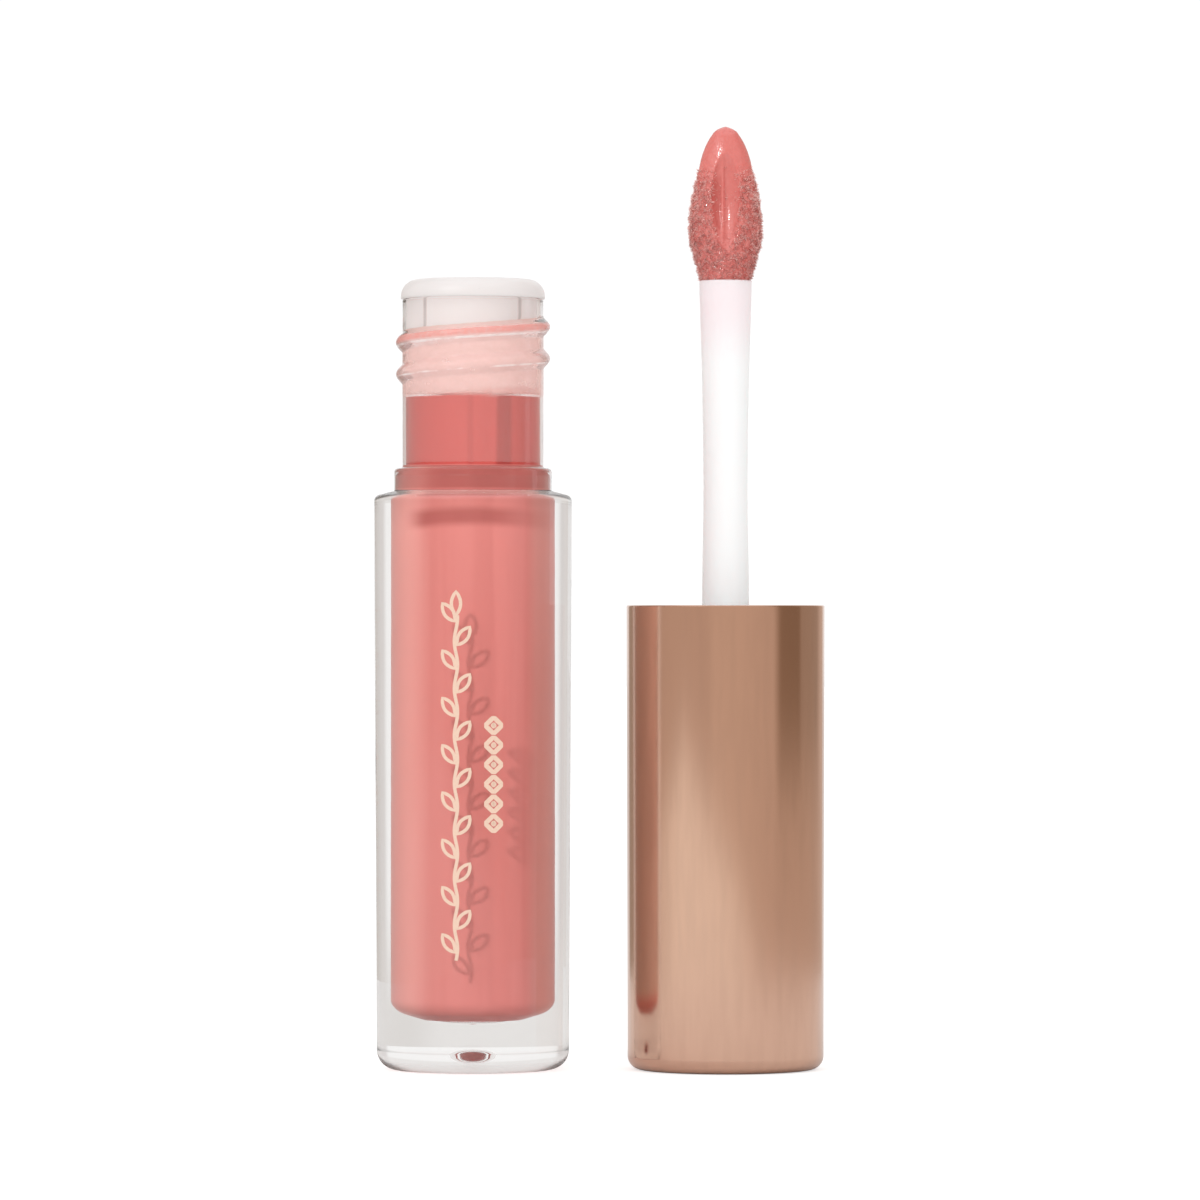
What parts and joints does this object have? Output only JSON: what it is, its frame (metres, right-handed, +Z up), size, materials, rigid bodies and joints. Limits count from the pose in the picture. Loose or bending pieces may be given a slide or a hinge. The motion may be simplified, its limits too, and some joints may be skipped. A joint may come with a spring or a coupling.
{
  "type": "lip gloss tube",
  "caption": "Thick clear cylindrical lip gloss vial with a threaded neck and wiper, and its metallised screw cap with a wand and flocked leaf applicator, standing beside it.",
  "frame": {"origin": "centre of the tube's flat base", "axes": "+Z up along the tube's axis, +X from the tube to the cap that stands beside it"},
  "size_m": [0.0434, 0.019, 0.091],
  "materials": {
    "clear_wall": "clear, polished",
    "clear_neck": "clear moulded plastic",
    "wiper_plastic": "soft translucent",
    "gloss": "wet cream, warm pink",
    "rose_gold": "satin rose gold metallising",
    "inner_plastic": "white, moulded",
    "liner_foam": "white foam liner",
    "wand_plastic": "white, translucent near the tip",
    "tip_rubber": "soft moulded",
    "flock": "short flock soaked with gloss"
  },
  "bodies": {
    "tube": {"tube_body": "clear_wall", "neck_insert": "clear_neck", "wiper": "wiper_plastic", "gloss_fill": "gloss"},
    "liner": {"sealing_ring": "liner_foam"},
    "cap_unit": {"cap_shell": "rose_gold", "inner_cap": "inner_plastic", "wand_stem": "wand_plastic", "tip_core": "tip_rubber", "tip_flock": "flock"}
  },
  "joints": [
    {"name": "cap_lift", "type": "slide", "parent": "tube", "child": "liner", "axis": [0, 0, 1], "range_m": [0, 0.07]},
    {"name": "cap_turn", "type": "hinge", "parent": "liner", "child": "cap_unit", "pos_m": [0.02435, 0, 0], "axis": [0, 0, 1], "continuous": true}
  ]
}
